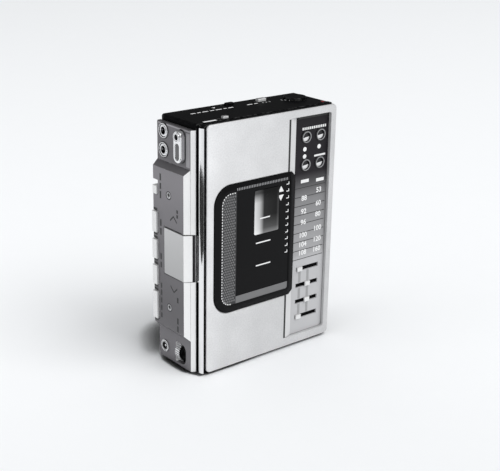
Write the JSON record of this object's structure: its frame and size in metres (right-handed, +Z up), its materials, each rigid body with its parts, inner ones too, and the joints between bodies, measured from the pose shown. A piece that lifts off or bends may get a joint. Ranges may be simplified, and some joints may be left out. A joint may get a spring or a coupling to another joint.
{
  "type": "pocket cassette player",
  "caption": "Pocket radio cassette player with a hinged front, side keys, sockets, tuner panel and a belt-driven tape deck inside.",
  "frame": {"origin": "middle of the box, on the plane that the feet stand on", "axes": "+X to the right seen from the front, +Y from the front plate to the rear cover, +Z up"},
  "size_m": [0.0846, 0.032, 0.1199],
  "materials": {
    "satin_silver": "fine satin",
    "black_case": "fine grained",
    "grey_satin": "satin",
    "bright_key": "satin",
    "chrome": "polished",
    "window_black": "gloss",
    "clear_lens": "clear",
    "tuner_print": "satin print",
    "white_tab": "satin",
    "steel": "brushed",
    "brass": "turned",
    "rubber": "matte",
    "board": "lacquered",
    "ferrite": "matte",
    "lamp": "clear"
  },
  "bodies": {
    "chassis": {"body_shell": "black_case", "rear_cover": "black_case", "battery_contacts": "steel", "case_screws": "steel", "feet": "rubber", "side_panel": "grey_satin", "key_block": "grey_satin", "headphone_jacks": "chrome", "remote_turret": "chrome", "remote_jack": "chrome", "dc_jack": "chrome", "volume_pot": "steel", "tuning_capacitor": "steel", "led": "lamp", "deck_plate": "steel", "capstan_bushes": "brass", "motor": "steel", "drive_belt": "rubber", "main_board": "board", "ferrite_rod": "ferrite"},
    "door": {"front_plate": "satin_silver", "door_frame": "black_case", "door_trim": "chrome", "door_liner": "black_case", "cassette_springs": "steel", "window_frame": "window_black", "window_lens": "clear_lens", "tuner_panel": "tuner_print", "tuner_board": "black_case", "trimmer_bezels": "chrome"},
    "sled": {"head_sled": "steel", "tape_head": "chrome"},
    "battery_lid": {"battery_lid": "black_case"},
    "play_key": {"play_key": "bright_key"},
    "hold_switch": {"hold_switch": "white_tab"},
    "volume_wheel": {"volume_wheel": "chrome"},
    "eject_slide": {"eject_slide": "bright_key"},
    "band_switch": {"band_switch": "black_case"},
    "mode_switch": {"mode_switch": "bright_key"},
    "tuning_dial": {"tuning_dial": "black_case"},
    "reel_spindle_upper": {"reel_spindle_upper": "white_tab"},
    "reel_spindle_lower": {"reel_spindle_lower": "white_tab"},
    "flywheel_upper": {"flywheel_upper": "brass"},
    "flywheel_lower": {"flywheel_lower": "brass"},
    "pinch_roller_upper": {"pinch_roller_upper": "rubber"},
    "pinch_roller_lower": {"pinch_roller_lower": "rubber"},
    "motor_pulley": {"motor_pulley": "brass"},
    "guide_pulley": {"guide_pulley": "white_tab"},
    "function_key_1": {"function_key_1": "white_tab"},
    "function_key_2": {"function_key_2": "white_tab"},
    "function_key_3": {"function_key_3": "white_tab"},
    "function_key_4": {"function_key_4": "white_tab"},
    "preset_trimmer_1": {"preset_trimmer_1": "window_black"},
    "preset_trimmer_2": {"preset_trimmer_2": "window_black"},
    "preset_trimmer_3": {"preset_trimmer_3": "window_black"},
    "preset_trimmer_4": {"preset_trimmer_4": "window_black"},
    "preset_slider_1": {"preset_slider_1": "white_tab"},
    "preset_slider_2": {"preset_slider_2": "white_tab"},
    "preset_slider_3": {"preset_slider_3": "white_tab"},
    "preset_slider_4": {"preset_slider_4": "white_tab"}
  },
  "joints": [
    {"name": "door_hinge", "type": "hinge", "parent": "chassis", "child": "door", "pos_m": [0.0411, -0.0112, 0.06], "axis": [0, 0, 1], "range_deg": [0, 80]},
    {"name": "battery_lid_slide", "type": "slide", "parent": "chassis", "child": "battery_lid", "axis": [1, 0, 0], "range_m": [0, 0.016]},
    {"name": "head_slide", "type": "slide", "parent": "chassis", "child": "sled", "axis": [1, 0, 0], "range_m": [0, 0.0016], "stiffness_N_per_m": 200},
    {"name": "play_press", "type": "slide", "parent": "chassis", "child": "play_key", "axis": [1, 0, 0], "range_m": [0, 0.001]},
    {"name": "function_key_1_press", "type": "slide", "parent": "chassis", "child": "function_key_1", "axis": [1, 0, 0], "range_m": [0, 0.0008], "stiffness_N_per_m": 300},
    {"name": "function_key_2_press", "type": "slide", "parent": "chassis", "child": "function_key_2", "axis": [1, 0, 0], "range_m": [0, 0.0008], "stiffness_N_per_m": 300},
    {"name": "function_key_3_press", "type": "slide", "parent": "chassis", "child": "function_key_3", "axis": [1, 0, 0], "range_m": [0, 0.0008], "stiffness_N_per_m": 300},
    {"name": "function_key_4_press", "type": "slide", "parent": "chassis", "child": "function_key_4", "axis": [1, 0, 0], "range_m": [0, 0.0008], "stiffness_N_per_m": 300},
    {"name": "hold_slide", "type": "slide", "parent": "chassis", "child": "hold_switch", "axis": [0, 0, 1], "range_m": [0, 0.0024]},
    {"name": "volume_turn", "type": "hinge", "parent": "chassis", "child": "volume_wheel", "pos_m": [-0.0345, 0.0008, 0.0074], "axis": [0, 1, 0], "range_deg": [-135, 135]},
    {"name": "eject_slide_press", "type": "slide", "parent": "chassis", "child": "eject_slide", "axis": [-1, 0, 0], "range_m": [0, 0.003], "stiffness_N_per_m": 100},
    {"name": "band_slide", "type": "slide", "parent": "chassis", "child": "band_switch", "axis": [-1, 0, 0], "range_m": [0, 0.003]},
    {"name": "mode_slide", "type": "slide", "parent": "chassis", "child": "mode_switch", "axis": [-1, 0, 0], "range_m": [0, 0.004]},
    {"name": "tuning_turn", "type": "hinge", "parent": "chassis", "child": "tuning_dial", "pos_m": [0.033, 0.0046, 0.1185], "axis": [0, 0, 1], "range_deg": [-170, 170]},
    {"name": "reel_upper_spin", "type": "hinge", "parent": "chassis", "child": "reel_spindle_upper", "pos_m": [-0.0002, -0.0014, 0.08125], "axis": [0, 1, 0], "continuous": true},
    {"name": "flywheel_upper_spin", "type": "hinge", "parent": "chassis", "child": "flywheel_upper", "pos_m": [-0.0249, 0.0046, 0.091], "axis": [0, 1, 0], "continuous": true},
    {"name": "pinch_roller_upper_spin", "type": "hinge", "parent": "sled", "child": "pinch_roller_upper", "pos_m": [-0.0306, -0.0046, 0.091], "axis": [0, 1, 0], "continuous": true},
    {"name": "reel_lower_spin", "type": "hinge", "parent": "chassis", "child": "reel_spindle_lower", "pos_m": [-0.0002, -0.0014, 0.03875], "axis": [0, 1, 0], "continuous": true},
    {"name": "flywheel_lower_spin", "type": "hinge", "parent": "chassis", "child": "flywheel_lower", "pos_m": [-0.0249, 0.0046, 0.029], "axis": [0, 1, 0], "continuous": true},
    {"name": "pinch_roller_lower_spin", "type": "hinge", "parent": "sled", "child": "pinch_roller_lower", "pos_m": [-0.0306, -0.0046, 0.029], "axis": [0, 1, 0], "continuous": true},
    {"name": "motor_spin", "type": "hinge", "parent": "chassis", "child": "motor_pulley", "pos_m": [0.0125, 0.0066, 0.06], "axis": [0, 1, 0], "continuous": true},
    {"name": "guide_spin", "type": "hinge", "parent": "chassis", "child": "guide_pulley", "pos_m": [-0.0075, 0.0066, 0.0145], "axis": [0, 1, 0], "continuous": true},
    {"name": "trimmer_1_turn", "type": "hinge", "parent": "door", "child": "preset_trimmer_1", "pos_m": [0.0245, -0.0132, 0.1047], "axis": [0, 1, 0], "range_deg": [-150, 150]},
    {"name": "trimmer_2_turn", "type": "hinge", "parent": "door", "child": "preset_trimmer_2", "pos_m": [0.0334, -0.0132, 0.1047], "axis": [0, 1, 0], "range_deg": [-150, 150]},
    {"name": "trimmer_3_turn", "type": "hinge", "parent": "door", "child": "preset_trimmer_3", "pos_m": [0.0245, -0.0132, 0.0913], "axis": [0, 1, 0], "range_deg": [-150, 150]},
    {"name": "trimmer_4_turn", "type": "hinge", "parent": "door", "child": "preset_trimmer_4", "pos_m": [0.0334, -0.0132, 0.0913], "axis": [0, 1, 0], "range_deg": [-150, 150]},
    {"name": "slider_1_move", "type": "slide", "parent": "door", "child": "preset_slider_1", "axis": [1, 0, 0], "range_m": [0, 0.0106]},
    {"name": "slider_2_move", "type": "slide", "parent": "door", "child": "preset_slider_2", "axis": [1, 0, 0], "range_m": [-0.0053, 0.0053]},
    {"name": "slider_3_move", "type": "slide", "parent": "door", "child": "preset_slider_3", "axis": [1, 0, 0], "range_m": [-0.0053, 0.0053]},
    {"name": "slider_4_move", "type": "slide", "parent": "door", "child": "preset_slider_4", "axis": [1, 0, 0], "range_m": [0, 0.0106]}
  ],
  "couplings": [
    {"joint": "play_press", "follows": "head_slide", "ratio": 0.625},
    {"joint": "flywheel_lower_spin", "follows": "flywheel_upper_spin", "ratio": -1},
    {"joint": "motor_spin", "follows": "flywheel_upper_spin", "ratio": 2.8},
    {"joint": "guide_spin", "follows": "flywheel_upper_spin", "ratio": 3.1613}
  ]
}
